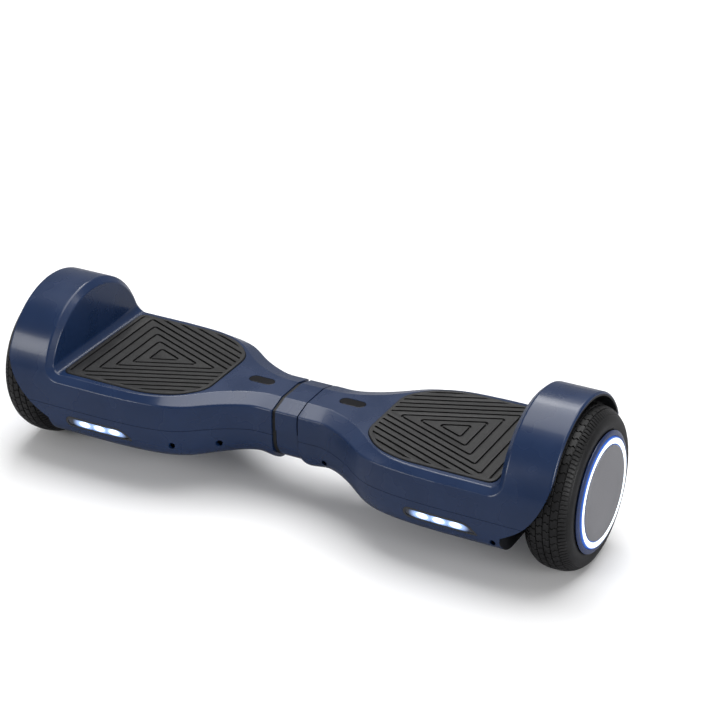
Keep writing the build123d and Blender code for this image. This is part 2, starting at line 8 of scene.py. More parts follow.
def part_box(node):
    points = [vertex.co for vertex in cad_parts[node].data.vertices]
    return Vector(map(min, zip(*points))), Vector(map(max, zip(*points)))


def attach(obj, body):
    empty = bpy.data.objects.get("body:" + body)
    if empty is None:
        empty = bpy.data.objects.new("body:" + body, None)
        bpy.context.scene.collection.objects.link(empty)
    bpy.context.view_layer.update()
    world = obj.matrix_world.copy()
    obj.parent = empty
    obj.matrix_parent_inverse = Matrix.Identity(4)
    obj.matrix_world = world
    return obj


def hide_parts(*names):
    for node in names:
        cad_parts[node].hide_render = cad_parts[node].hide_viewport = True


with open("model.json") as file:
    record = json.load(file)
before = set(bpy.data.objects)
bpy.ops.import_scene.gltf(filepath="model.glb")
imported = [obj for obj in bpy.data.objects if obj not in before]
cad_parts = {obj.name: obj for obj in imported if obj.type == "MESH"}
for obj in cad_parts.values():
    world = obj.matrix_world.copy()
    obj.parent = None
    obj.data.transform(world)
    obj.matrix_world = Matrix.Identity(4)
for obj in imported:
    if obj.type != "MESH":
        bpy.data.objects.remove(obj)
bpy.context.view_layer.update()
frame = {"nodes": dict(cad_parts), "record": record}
nodes = frame["nodes"]
slotOf = {part["node"]: part["material_slot"] for part in frame["record"]["subparts"]}
mm = 0.001
sides = {"right": 1, "left": -1}
print("frame loaded,", len(nodes), "nodes")

# ---- studio
studio = {
    "cameraAt": (0.93481, -1.59147, 1.11205),
    "azimuth": 28.98106, "elevation": 27.56122, "roll": -0.97770,
    "lens": 111.9,
    "worldStrength": 0.32,
    "floorColor": (0.93, 0.93, 0.935, 1), "mirroredFloorColor": (0.34, 0.34, 0.35, 1),
    "floorSize": 30.0,
}
softboxes = {
    "overhead": {"at": (0.1, 0.5, 2.3), "aim": (0.0, 0.1, 0.0), "size": (3.0, 1.9), "power": 64},
    "back": {"at": (-0.7, 1.8, 2.35), "aim": (0.0, 0.0, 0.1), "size": (1.6, 0.6), "power": 17},
    "leftFront": {"at": (-0.95, -1.3, 0.75), "aim": (0.0, 0.0, 0.1), "size": (0.9, 0.5), "power": 8},
    "rightSide": {"at": (2.1, -0.6, 0.7), "aim": (0.3, 0.0, 0.09), "size": (0.7, 0.9), "power": 17},
}


def buildStudio():
    view = bpy.context.scene.view_settings
    view.view_transform = "Standard"
    azimuth, elevation, roll = (math.radians(studio[key]) for key in ("azimuth", "elevation", "roll"))
    backward = Vector((math.sin(azimuth) * math.cos(elevation), -math.cos(azimuth) * math.cos(elevation),
                       math.sin(elevation)))
    level = Vector((math.cos(azimuth), math.sin(azimuth), 0))
    upward = backward.cross(level)
    right = level * math.cos(roll) + upward * math.sin(roll)
    up = upward * math.cos(roll) - level * math.sin(roll)
    data = bpy.data.cameras.new("camera")
    data.sensor_width = 36
    data.lens = studio["lens"]
    data.clip_end = 60
    camera = bpy.data.objects.new("camera", data)
    turn = Matrix((right, up, backward)).transposed().to_4x4()
    camera.matrix_world = Matrix.Translation(studio["cameraAt"]) @ turn
    bpy.context.collection.objects.link(camera)
    bpy.context.scene.camera = camera

    for name, box in softboxes.items():
        lamp = bpy.data.lights.new(name, "AREA")
        lamp.shape = "RECTANGLE"
        lamp.size, lamp.size_y = box["size"]
        lamp.energy = box["power"]
        holder = bpy.data.objects.new(name, lamp)
        away = Vector(box["aim"]) - Vector(box["at"])
        turn = away.to_track_quat("-Z", "Y").to_matrix().to_4x4()
        holder.matrix_world = Matrix.Translation(box["at"]) @ turn
        bpy.context.collection.objects.link(holder)

    world = bpy.data.worlds.new("studioWorld")
    world.use_nodes = True
    world.node_tree.nodes["Background"].inputs["Color"].default_value = (1, 1, 1, 1)
    world.node_tree.nodes["Background"].inputs["Strength"].default_value = studio["worldStrength"]
    bpy.context.scene.world = world

    bm = bmesh.new()
    bmesh.ops.create_grid(bm, x_segments=1, y_segments=1, size=studio["floorSize"] / 2)
    mesh = bpy.data.meshes.new("studioFloor")
    bm.to_mesh(mesh)
    bm.free()
    floor = bpy.data.objects.new("studioFloor", mesh)
    bpy.context.collection.objects.link(floor)
    paper = bpy.data.materials.new("floorPaper")
    paper.use_nodes = True
    surface = paper.node_tree.nodes["Principled BSDF"]
    surface.inputs["Roughness"].default_value = 0.75
    surface.inputs["Specular IOR Level"].default_value = 0.2
    # mirrored light sees a greyer floor, so the glossy sides keep their depth
    rays = paper.node_tree.nodes.new("ShaderNodeLightPath")
    tint = paper.node_tree.nodes.new("ShaderNodeMix")
    tint.data_type = "RGBA"
    tint.inputs[6].default_value = studio["floorColor"]
    tint.inputs[7].default_value = studio["mirroredFloorColor"]
    paper.node_tree.links.new(rays.outputs["Is Glossy Ray"], tint.inputs["Factor"])
    paper.node_tree.links.new(tint.outputs[2], surface.inputs["Base Color"])
    mesh.materials.append(paper)


buildStudio()
print("studio ready")


# ---- shared surface effects, as node groups
def startGroup(name, inputs, outputs):
    group = bpy.data.node_groups.new(name, "ShaderNodeTree")
    for label, value in inputs.items():
        socket = group.interface.new_socket(label, in_out="INPUT", socket_type="NodeSocketFloat")
        socket.default_value = value
    for label in outputs:
        group.interface.new_socket(label, in_out="OUTPUT", socket_type="NodeSocketFloat")
    entry = group.nodes.new("NodeGroupInput")
    leave = group.nodes.new("NodeGroupOutput")
    return group, entry, leave


def addNode(tree, kind, settings=None, **values):
    node = tree.nodes.new(kind)
    for key, value in (settings or {}).items():
        setattr(node, key, value)
    for key, value in values.items():
        socket = node.inputs[int(key[1:])] if key[1:].isdigit() else node.inputs[key.replace("_", " ")]
        if isinstance(value, bpy.types.NodeSocket):
            tree.links.new(value, socket)
        else:
            socket.default_value = value
    return node


def calc(tree, operation, first, second=0.0, third=0.0):
    return addNode(tree, "ShaderNodeMath", {"operation": operation}, i0=first, i1=second, i2=third).outputs[0]


def ramp(tree, value, low, high, toLow=0.0, toHigh=1.0):
    node = addNode(tree, "ShaderNodeMapRange", {"interpolation_type": "SMOOTHSTEP"}, Value=value)
    for label, number in (("From Min", low), ("From Max", high), ("To Min", toLow), ("To Max", toHigh)):
        node.inputs[label].default_value = number
    return node.outputs["Result"]


def noiseOf(tree, vector, scale, detail=2.0, rough=0.5):
    return addNode(tree, "ShaderNodeTexNoise", {"noise_dimensions": "3D"}, Vector=vector, Scale=scale,
                   Detail=detail, Roughness=rough).outputs["Fac"]


def stretched(tree, vector, scale):
    node = addNode(tree, "ShaderNodeMapping", {"vector_type": "POINT"}, Vector=vector, Scale=scale)
    return node.outputs["Vector"]


def buildMouldedSurface():
    # fine mould texture, slow mottling and a few hairline scuffs
    tree, entry, leave = startGroup("mouldedSurface", {"Grain Size": 0.0008, "Mottle Size": 0.05},
                                    ("Grain", "Mottle", "Scuffs"))
    place = addNode(tree, "ShaderNodeTexCoord").outputs["Object"]
    grain = noiseOf(tree, place, calc(tree, "DIVIDE", 1.0, entry.outputs["Grain Size"]), 1.0)
    mottle = noiseOf(tree, place, calc(tree, "DIVIDE", 1.0, entry.outputs["Mottle Size"]), 3.0)
    streak = noiseOf(tree, stretched(tree, place, (60.0, 2400.0, 1900.0)), 1.0, 2.0)
    patch = noiseOf(tree, place, 34.0, 2.0)
    scuffs = calc(tree, "MULTIPLY", ramp(tree, streak, 0.7, 0.76), ramp(tree, patch, 0.6, 0.72))
    tree.links.new(grain, leave.inputs["Grain"])
    tree.links.new(ramp(tree, mottle, 0.3, 0.7), leave.inputs["Mottle"])
    tree.links.new(scuffs, leave.inputs["Scuffs"])
    return tree


def buildWheelWellShade():
    # painted shade mask: 1 inside the wheel wells, where the shell is painted near-black as shade, 0 on every
    # outer surface
    tree, entry, leave = startGroup("wheelWellShade", {"Inner End": 0.2443, "Arch Height": 0.084, "Reach": 0.0823},
                                    ("Inside",))
    place = addNode(tree, "ShaderNodeTexCoord").outputs["Object"]
    parts = addNode(tree, "ShaderNodeSeparateXYZ", None, Vector=place).outputs
    rise = calc(tree, "SUBTRACT", parts["Z"], entry.outputs["Arch Height"])
    rise = calc(tree, "MAXIMUM", rise, 0.0)
    square = calc(tree, "MULTIPLY_ADD", rise, rise, calc(tree, "MULTIPLY", parts["Y"], parts["Y"]))
    near = calc(tree, "LESS_THAN", calc(tree, "SQRT", square), entry.outputs["Reach"])
    away = calc(tree, "ABSOLUTE", parts["X"])
    beyond = calc(tree, "GREATER_THAN", away, entry.outputs["Inner End"])
    tree.links.new(calc(tree, "MULTIPLY", near, beyond), leave.inputs["Inside"])
    return tree


def buildRubberSurface():
    # matt skin with pores and a little dust in patches
    tree, entry, leave = startGroup("rubberSurface", {"Pore Size": 0.0007, "Dust Amount": 0.5},
                                    ("Pores", "Dust", "Mottle"))
    place = addNode(tree, "ShaderNodeTexCoord").outputs["Object"]
    poreScale = calc(tree, "DIVIDE", 1.0, entry.outputs["Pore Size"])
    voronoi = addNode(tree, "ShaderNodeTexVoronoi", {"feature": "F1"}, Vector=place, Scale=poreScale)
    skin = noiseOf(tree, place, poreScale, 2.0)
    pores = calc(tree, "MULTIPLY_ADD", voronoi.outputs["Distance"], 0.5, skin)
    dust = calc(tree, "MULTIPLY", ramp(tree, noiseOf(tree, place, 46.0, 5.0, 0.6), 0.5, 0.75),
                entry.outputs["Dust Amount"])
    tree.links.new(pores, leave.inputs["Pores"])
    tree.links.new(dust, leave.inputs["Dust"])
    tree.links.new(ramp(tree, noiseOf(tree, place, 90.0, 3.0), 0.3, 0.7), leave.inputs["Mottle"])
    return tree


def buildToolMarks():
    # lines left by turning or brushing, across or along the axle line
    tree, entry, leave = startGroup("toolMarks", {"Line Pitch": 0.0005, "Stain Size": 0.03},
                                    ("Lines", "Stain"))
    place = addNode(tree, "ShaderNodeTexCoord").outputs["Object"]
    lines = noiseOf(tree, stretched(tree, place, (1.0, 0.03, 0.03)),
                    calc(tree, "DIVIDE", 1.0, entry.outputs["Line Pitch"]), 2.0)
    stain = noiseOf(tree, place, calc(tree, "DIVIDE", 1.0, entry.outputs["Stain Size"]), 4.0, 0.6)
    tree.links.new(lines, leave.inputs["Lines"])
    tree.links.new(ramp(tree, stain, 0.35, 0.7), leave.inputs["Stain"])
    return tree


def buildLayers():
    # fine parallel layers across the axle: laminations and windings
    tree, entry, leave = startGroup("stackedLayers", {"Layer Pitch": 0.0007}, ("Layers", "Mottle"))
    place = addNode(tree, "ShaderNodeTexCoord").outputs["Object"]
    bands = addNode(tree, "ShaderNodeTexWave", {"wave_type": "BANDS", "bands_direction": "X"}, Vector=place,
                    Scale=calc(tree, "DIVIDE", 0.314, entry.outputs["Layer Pitch"]), Distortion=0.4)
    tree.links.new(bands.outputs["Fac"], leave.inputs["Layers"])
    tree.links.new(ramp(tree, noiseOf(tree, place, 120.0, 3.0), 0.3, 0.7), leave.inputs["Mottle"])
    return tree


mouldedSurface = buildMouldedSurface()
wheelWellShade = buildWheelWellShade()
rubberSurface = buildRubberSurface()
toolMarks = buildToolMarks()
stackedLayers = buildLayers()


# ---- materials
def startMaterial(name, constants):
    material = bpy.data.materials.new(name)
    material.use_nodes = True
    tree = material.node_tree
    shader = tree.nodes["Principled BSDF"]
    for label, value in constants.items():
        shader.inputs[label].default_value = value
    return material, tree, shader


def placeGroup(tree, group, **values):
    node = tree.nodes.new("ShaderNodeGroup")
    node.node_tree = group
    for key, value in values.items():
        node.inputs[key.replace("_", " ")].default_value = value
    return node


def blendColors(tree, factor, first, second):
    node = addNode(tree, "ShaderNodeMix", {"data_type": "RGBA"})
    tree.links.new(factor, node.inputs["Factor"])
    for index, color in ((6, first), (7, second)):
        if isinstance(color, bpy.types.NodeSocket):
            tree.links.new(color, node.inputs[index])
        else:
            node.inputs[index].default_value = (*color, 1)
    return node.outputs[2]


def addBump(tree, shader, height, distance, strength=1.0):
    bump = addNode(tree, "ShaderNodeBump", None, Strength=strength, Distance=distance, Height=height)
    tree.links.new(bump.outputs["Normal"], shader.inputs["Normal"])


def mouldedPlastic(name, deep, light, roughness, constants=None, grainSize=0.0008, grainDepth=0.00004,
                   scuffColor=None, wellShadeColor=None):
    material, tree, shader = startMaterial(name, constants or {})
    effect = placeGroup(tree, mouldedSurface, Grain_Size=grainSize)
    color = blendColors(tree, effect.outputs["Mottle"], deep, light)
    scuffs = effect.outputs["Scuffs"]
    color = blendColors(tree, calc(tree, "MULTIPLY", scuffs, 0.18), color, scuffColor or light)
    rough = ramp(tree, effect.outputs["Mottle"], 0.0, 1.0, roughness - 0.03, roughness + 0.04)
    # painted shade: inside the wheel wells the shell colour turns near-black, and the surface gets rougher
    if wellShadeColor:
        wellShade = placeGroup(tree, wheelWellShade).outputs["Inside"]
        color = blendColors(tree, wellShade, color, wellShadeColor)
        rough = calc(tree, "MULTIPLY_ADD", wellShade, 0.4, rough)
    tree.links.new(color, shader.inputs["Base Color"])
    tree.links.new(calc(tree, "MULTIPLY_ADD", scuffs, 0.05, rough), shader.inputs["Roughness"])
    addBump(tree, shader, effect.outputs["Grain"], grainDepth)
    return material


def rubberSkin(name, deep, light, roughness, dustColor, dustAmount=0.5, poreSize=0.0007, poreDepth=0.00008):
    material, tree, shader = startMaterial(name, {"Specular IOR Level": 0.32})
    effect = placeGroup(tree, rubberSurface, Pore_Size=poreSize, Dust_Amount=dustAmount)
    color = blendColors(tree, effect.outputs["Mottle"], deep, light)
    dust = effect.outputs["Dust"]
    tree.links.new(blendColors(tree, dust, color, dustColor), shader.inputs["Base Color"])
    tree.links.new(calc(tree, "MULTIPLY_ADD", dust, 0.2, roughness), shader.inputs["Roughness"])
    addBump(tree, shader, effect.outputs["Pores"], poreDepth)
    return material


def workedMetal(name, deep, light, roughness, linePitch=0.0005, lineDepth=0.00003, metallic=1.0):
    material, tree, shader = startMaterial(name, {"Metallic": metallic})
    effect = placeGroup(tree, toolMarks, Line_Pitch=linePitch)
    tree.links.new(blendColors(tree, effect.outputs["Stain"], deep, light), shader.inputs["Base Color"])
    tree.links.new(ramp(tree, effect.outputs["Stain"], 0.0, 1.0, roughness + 0.08, roughness - 0.05),
                   shader.inputs["Roughness"])
    addBump(tree, shader, effect.outputs["Lines"], lineDepth)
    return material


def layeredMetal(name, deep, light, roughness, pitch, metallic):
    material, tree, shader = startMaterial(name, {"Metallic": metallic})
    effect = placeGroup(tree, stackedLayers, Layer_Pitch=pitch)
    tree.links.new(blendColors(tree, effect.outputs["Layers"], deep, light), shader.inputs["Base Color"])
    tree.links.new(ramp(tree, effect.outputs["Mottle"], 0.0, 1.0, roughness - 0.05, roughness + 0.1),
                   shader.inputs["Roughness"])
    addBump(tree, shader, effect.outputs["Layers"], pitch * 0.3)
    return material


def circuitBoard(name):
    material, tree, shader = startMaterial(name, {"Roughness": 0.35, "Coat Weight": 0.3})
    place = addNode(tree, "ShaderNodeTexCoord").outputs["Object"]
    tracks = addNode(tree, "ShaderNodeTexBrick", {"offset": 0.5}, Vector=place, Scale=120.0, Mortar_Size=0.03)
    tracks.inputs["Color1"].default_value = (0.008, 0.06, 0.02, 1)
    tracks.inputs["Color2"].default_value = (0.012, 0.09, 0.03, 1)
    tracks.inputs["Mortar"].default_value = (0.35, 0.3, 0.12, 1)
    tree.links.new(tracks.outputs["Color"], shader.inputs["Base Color"])
    addBump(tree, shader, tracks.outputs["Fac"], 0.00005)
    return material


def lightRingGlow(name, ring):
    # white core that turns blue at both edges of the ring
    material, tree, shader = startMaterial(name, {"Roughness": 0.3, "Emission Strength": ring["strength"]})
    place = addNode(tree, "ShaderNodeTexCoord").outputs["Object"]
    parts = addNode(tree, "ShaderNodeSeparateXYZ", None, Vector=place)
    rise = calc(tree, "SUBTRACT", parts.outputs["Z"], ring["axleZ"])
    square = calc(tree, "ADD", calc(tree, "MULTIPLY", rise, rise),
                  calc(tree, "MULTIPLY", parts.outputs["Y"], parts.outputs["Y"]))
    away = calc(tree, "ABSOLUTE", calc(tree, "SUBTRACT", calc(tree, "SQRT", square), ring["middle"]))
    edge = ramp(tree, away, ring["halfWidth"] * 0.6, ring["halfWidth"])
    glow = blendColors(tree, edge, ring["core"], ring["edge"])
    tree.links.new(glow, shader.inputs["Emission Color"])
    tree.links.new(glow, shader.inputs["Base Color"])
    return material


def lampGlow(name, lamp, centreX):
    # three oval hot spots with a blue halo behind a clear cover
    material, tree, shader = startMaterial(name, {"Roughness": 0.12, "Coat Weight": 0.6,
                                                  "Emission Strength": lamp["strength"]})
    place = addNode(tree, "ShaderNodeTexCoord").outputs["Object"]
    parts = addNode(tree, "ShaderNodeSeparateXYZ", None, Vector=place).outputs
    rise = calc(tree, "DIVIDE", calc(tree, "SUBTRACT", parts["Z"], lamp["height"]), lamp["halfHeight"])
    riseSquare = calc(tree, "MULTIPLY", rise, rise)
    away = None
    for step in (-1, 0, 1):
        along = calc(tree, "SUBTRACT", parts["X"], centreX + step * lamp["pitch"])
        along = calc(tree, "DIVIDE", along, lamp["halfLength"])
        distance = calc(tree, "SQRT", calc(tree, "MULTIPLY_ADD", along, along, riseSquare))
        away = calc(tree, "MINIMUM", away, distance) if away else distance
    core = ramp(tree, away, 1.05, 0.6)
    halo = ramp(tree, away, 2.2, 0.8)
    glow = blendColors(tree, halo, lamp["dark"], lamp["halo"])
    glow = blendColors(tree, core, glow, lamp["core"])
    tree.links.new(glow, shader.inputs["Emission Color"])
    tree.links.new(blendColors(tree, halo, (0.02, 0.025, 0.04), (0.4, 0.5, 0.7)), shader.inputs["Base Color"])
    return material


lightRing = {"strength": 1.15, "axleZ": 0.078, "middle": 0.0486, "halfWidth": 0.0031,
             "core": (0.82, 0.92, 1.0), "edge": (0.02, 0.07, 0.3)}
lamp = {"strength": 1.7, "centreX": 0.1845, "pitch": 0.017, "height": 0.0592,
        "halfLength": 0.0068, "halfHeight": 0.0038,
        "dark": (0.0, 0.0, 0.0), "halo": (0.09, 0.18, 0.42), "core": (0.86, 0.94, 1.0)}

finishes = {
    "shell": mouldedPlastic("navyShell", (0.0048, 0.0172, 0.057), (0.006, 0.0205, 0.067), 0.27,
                            {"Specular IOR Level": 0.36, "Coat Weight": 0.2, "Coat Roughness": 0.08},
                            grainDepth=0.000012, scuffColor=(0.009, 0.023, 0.072),
                            # near-black painted shade inside the wheel wells
                            wellShadeColor=(0.002, 0.003, 0.006)),
    "rim_blue": mouldedPlastic("rimBlue", (0.006, 0.018, 0.075), (0.009, 0.025, 0.095), 0.24,
                               {"Coat Weight": 0.3}, grainDepth=0.00001),
    "disc_grey": mouldedPlastic("discGrey", (0.185, 0.185, 0.2), (0.215, 0.215, 0.23), 0.4,
                                {"Metallic": 0.35}, grainSize=0.0005, grainDepth=0.00002),
    "dark_trim": mouldedPlastic("darkTrim", (0.02, 0.021, 0.024), (0.03, 0.031, 0.035), 0.4),
    "dark_window": mouldedPlastic("windowGloss", (0.002, 0.002, 0.003), (0.004, 0.004, 0.006), 0.09,
                                  {"Specular IOR Level": 0.3}, grainDepth=0.000004),
    "button": mouldedPlastic("buttonGrey", (0.35, 0.36, 0.38), (0.42, 0.43, 0.45), 0.25, grainDepth=0.00001),
    "bushing": mouldedPlastic("bushingPlastic", (0.55, 0.53, 0.46), (0.65, 0.63, 0.56), 0.45),
    "battery": mouldedPlastic("batteryWrap", (0.02, 0.08, 0.32), (0.03, 0.11, 0.4), 0.2, {"Coat Weight": 0.5},
                              grainSize=0.012, grainDepth=0.0004),
    "pad_rubber": rubberSkin("padRubber", (0.009, 0.009, 0.0095), (0.013, 0.013, 0.0135), 0.5,
                             (0.025, 0.025, 0.025), 0.25),
    "tyre": rubberSkin("tyreRubber", (0.005, 0.005, 0.0055), (0.008, 0.008, 0.009), 0.44,
                       (0.018, 0.0175, 0.017), 0.25, poreSize=0.0009),
    "seal_rubber": rubberSkin("sealRubber", (0.01, 0.01, 0.01), (0.016, 0.016, 0.016), 0.6,
                              (0.03, 0.03, 0.03), 0.3),
    "cast_frame": workedMetal("castFrame", (0.34, 0.34, 0.35), (0.5, 0.5, 0.51), 0.5, 0.0015, 0.0002),
    "steel": workedMetal("turnedSteel", (0.42, 0.42, 0.43), (0.58, 0.58, 0.6), 0.28),
    "bolt_steel": workedMetal("blackSteel", (0.05, 0.05, 0.055), (0.09, 0.09, 0.095), 0.42),
    "bearing_steel": workedMetal("bearingSteel", (0.6, 0.6, 0.62), (0.7, 0.7, 0.72), 0.14, lineDepth=0.00001),
    "hub_metal": workedMetal("hubMetal", (0.05, 0.05, 0.055), (0.08, 0.08, 0.085), 0.38),
    "magnet": workedMetal("platedMagnet", (0.5, 0.5, 0.5), (0.62, 0.62, 0.63), 0.2),
    "socket_metal": workedMetal("socketMetal", (0.5, 0.5, 0.5), (0.66, 0.66, 0.67), 0.22),
    "stator_iron": layeredMetal("statorIron", (0.1, 0.1, 0.105), (0.24, 0.24, 0.25), 0.45, 0.0007, 0.9),
    "copper": layeredMetal("copperWinding", (0.35, 0.13, 0.05), (0.75, 0.34, 0.17), 0.3, 0.0011, 0.9),
    "board": circuitBoard("circuitBoard"),
    "light_white": lightRingGlow("lightRingGlow", lightRing),
}
for side, sign in sides.items():
    finishes["lens_" + side] = lampGlow("lampGlow_" + side, lamp, sign * lamp["centreX"])

for name, node in nodes.items():
    key = slotOf[name]
    if key == "lens":
        key = "lens_left" if name.startswith("left") else "lens_right"
    for holder in node.material_slots:
        holder.material = finishes[key]
print("materials ready:", len(finishes))


# ---- helpers for new pieces
def shadeByAngle(mesh, degrees=32):
    mesh.polygons.foreach_set("use_smooth", [True] * len(mesh.polygons))
    mesh.set_sharp_from_angle(angle=math.radians(degrees))


def makeObject(name, bm):
    mesh = bpy.data.meshes.new(name)
    bm.to_mesh(mesh)
    bm.free()
    thing = bpy.data.objects.new(name, mesh)
    bpy.context.collection.objects.link(thing)
    return thing


def makePiece(name, bm, slotName, body, replaced=(), smoothAngle=32):
    piece = makeObject(name, bm)
    piece.data.materials.append(finishes[slotName])
    shadeByAngle(piece.data, smoothAngle)
    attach(piece, body)
    if replaced:
        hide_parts(*replaced)
    return piece


def bevelEdges(piece, width, segments=2, degrees=30):
    rounding = piece.modifiers.new("softEdges", "BEVEL")
    rounding.width = width
    rounding.segments = segments
    rounding.limit_method = "ANGLE"
    rounding.angle_limit = math.radians(degrees)
    rounding.use_clamp_overlap = True
    return rounding


def mergedCopy(nodeName):
    bm = bmesh.new()
    bm.from_mesh(nodes[nodeName].data)
    bmesh.ops.remove_doubles(bm, verts=bm.verts, dist=1e-6)
    return bm


def combine(target, cutter, operation):
    cut = target.modifiers.new("cut", "BOOLEAN")
    cut.operation = operation
    cut.object = cutter
    cut.solver = "EXACT"
    depsgraph = bpy.context.evaluated_depsgraph_get()
    result = bpy.data.meshes.new_from_object(target.evaluated_get(depsgraph))
    target.modifiers.clear()
    old = target.data
    target.data = result
    bpy.data.meshes.remove(old)
    bpy.data.objects.remove(cutter)


# ---- footpads: nested triangular grooves inside a plain border
footpad = {
    "centre": (167 * mm, 1 * mm),
    "sideAngle": 22,
    "baseStart": 3.9 * mm, "basePitch": 11.2 * mm,
    "sideStart": 9.4 * mm, "sidePitch": 7.7 * mm,
    "ringCount": 11, "arcSteps": 5,
    "grooveWidth": 2.5 * mm, "grooveDepth": 1.9 * mm, "edgeRound": 0.55 * mm,
    "cornerRound": 3.5 * mm,
    "border": 2.6 * mm,
}


def roundedTriangle(toSide, toBase, rounding):
    # outline of one nested triangle, its corners drawn as arcs
    angle = math.radians(footpad["sideAngle"])
    centreX, centreY = footpad["centre"]
    halfBase = (toSide + toBase * math.sin(angle)) / math.cos(angle)
    corners = [Vector((centreX - toSide / math.sin(angle), centreY)),
               Vector((centreX + toBase, centreY - halfBase)), Vector((centreX + toBase, centreY + halfBase))]
    outline = []
    for index, corner in enumerate(corners):
        before = (corners[index - 1] - corner).normalized()
        after = (corners[(index + 1) % 3] - corner).normalized()
        half = before.angle(after) / 2
        middle = corner + (before + after).normalized() * rounding / math.sin(half)
        first = corner + before * rounding / math.tan(half) - middle
        last = corner + after * rounding / math.tan(half) - middle
        sweep = first.angle_signed(last)
        for step in range(footpad["arcSteps"] + 1):
            turn = -sweep * step / footpad["arcSteps"]
            outline.append(middle + Matrix.Rotation(turn, 2) @ first)
    return outline


def addLoop(bm, outline, sign, z):
    verts = [bm.verts.new((sign * point.x, point.y, z)) for point in outline]
    return [bm.edges.new(pair) for pair in zip(verts, verts[1:] + verts[:1])]


def lowered(bm, faces, depth):
    # turn flat faces into a closed solid
    deeper = bmesh.ops.extrude_face_region(bm, geom=faces)
    down = [item for item in deeper["geom"] if isinstance(item, bmesh.types.BMVert)]
    bmesh.ops.translate(bm, verts=down, vec=(0, 0, -depth))


def buildGrooves(sign, top):
    bm = bmesh.new()
    width = footpad["grooveWidth"]
    above = 0.4 * mm
    for step in range(footpad["ringCount"]):
        toBase = footpad["baseStart"] + footpad["basePitch"] * step
        toSide = footpad["sideStart"] + footpad["sidePitch"] * step
        outer = addLoop(bm, roundedTriangle(toSide + width / 2, toBase + width / 2, footpad["cornerRound"]),
                        sign, top + above)
        inner = addLoop(bm, roundedTriangle(toSide - width / 2, toBase - width / 2,
                                            footpad["cornerRound"] - width), sign, top + above)
        bridged = bmesh.ops.bridge_loops(bm, edges=outer + inner)
        lowered(bm, bridged["faces"], footpad["grooveDepth"] + above)
    bmesh.ops.recalc_face_normals(bm, faces=bm.faces)
    return makeObject("grooveCutter", bm)


def buildPadBorder(nodeName, top):
    # the pad's flat top, drawn in by the border and thickened
    low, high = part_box(nodeName)
    centre = [(low[axis] + high[axis]) / 2 for axis in (0, 1)]
    shrink = [1 - 2 * footpad["border"] / (high[axis] - low[axis]) for axis in (0, 1)]
    bm = mergedCopy(nodeName)
    rest = [f for f in bm.faces if f.normal.z < 0.99 or f.calc_center_median().z < top - 0.05 * mm]
    bmesh.ops.delete(bm, geom=rest, context="FACES")
    bmesh.ops.dissolve_faces(bm, faces=bm.faces)
    toCentre = Matrix.Translation((-centre[0], -centre[1], 0))
    bmesh.ops.scale(bm, verts=bm.verts, vec=(*shrink, 1), space=toCentre)
    bmesh.ops.translate(bm, verts=bm.verts, vec=(0, 0, mm))
    lowered(bm, list(bm.faces), 4 * mm)
    bmesh.ops.recalc_face_normals(bm, faces=bm.faces)
    return makeObject("padBorder", bm)


def buildFootpad(side, sign):
    nodeName = side + "_footpad"
    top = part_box(nodeName)[1][2]
    piece = makePiece("grooved_footpad_" + side, mergedCopy(nodeName), "pad_rubber", side + "_pad",
                      (nodeName,))
    grooves = buildGrooves(sign, top)
    combine(grooves, buildPadBorder(nodeName, top), "INTERSECT")
    combine(piece, grooves, "DIFFERENCE")
    shadeByAngle(piece.data)
    bevelEdges(piece, footpad["edgeRound"], 2, 40)
    return piece


for side, sign in sides.items():
    buildFootpad(side, sign)
print("footpads ready")


# ---- tyres
tyre = {
    "axleZ": 78 * mm, "centreX": 283.5 * mm,
    # half profile from the crown to the bead: distance from the middle, radius
    "profile": [(0, 78), (5, 77.85), (9.5, 77.2), (14, 75.6), (17.4, 73.4), (20.5, 70.5), (22.4, 67.3),
                (23.0, 64), (22.9, 60.5), (22.3, 57.5), (20.9, 54.9)],
    "treadFoot": (20.9, 70.0), "treadFootIndex": 6,  # where the outer blocks meet the side wall
    "treadDepth": 1.5 * mm, "shoulder": 20.3,
    "steps": 120,
    "rows": [{"from": -13.2, "to": -7.0, "count": 56, "wave": 0.9, "turn": 0.0},
             {"from": -6.2, "to": -0.5, "count": 56, "wave": -0.9, "turn": 0.5},
             {"from": 0.5, "to": 6.2, "count": 56, "wave": 0.9, "turn": 0.0},
             {"from": 7.0, "to": 13.2, "count": 56, "wave": -0.9, "turn": 0.5},
             {"from": 14.0, "to": 20.4, "count": 112, "wave": 0.25, "turn": 0.0},
             {"from": -20.4, "to": -14.0, "count": 112, "wave": -0.25, "turn": 0.0}],
    "gap": 1.0 * mm, "blockBevel": 0.28 * mm, "rootDepth": 0.3 * mm, "pitchRadius": 75 * mm,
}


def profileAt(offset):
    # radius and outward slope of the tread at a distance from the middle
    points = tyre["profile"]
    away = abs(offset)
    for (x0, r0), (x1, r1) in zip(points, points[1:]):
        if away <= x1 or (x1, r1) == points[6]:
            share = (away - x0) / (x1 - x0)
            slope = math.atan2(r0 - r1, x1 - x0)
            return r0 + (r1 - r0) * share, math.copysign(slope, offset)
    return points[6][1], 0.0


def buildTyreBody(bm, sign):
    outline = []
    for offset, radius in tyre["profile"]:
        inTread = offset < tyre["shoulder"]
        outline.append((offset, radius - (tyre["treadDepth"] / mm if inTread else 0.0)))
    outline.insert(tyre["treadFootIndex"], tyre["treadFoot"])
    full = [(-x, r) for x, r in reversed(outline)] + outline[1:]
    verts = [bm.verts.new((sign * (tyre["centreX"] + x * mm), 0, tyre["axleZ"] + r * mm)) for x, r in full]
    edges = [bm.edges.new(pair) for pair in zip(verts, verts[1:])]
    edges.append(bm.edges.new((verts[-1], verts[0])))
    bmesh.ops.spin(bm, geom=verts + edges, cent=(0, 0, tyre["axleZ"]), axis=(1, 0, 0), angle=math.tau,
                   steps=tyre["steps"], use_merge=True, use_duplicate=False)
    bmesh.ops.remove_doubles(bm, verts=bm.verts, dist=1e-6)


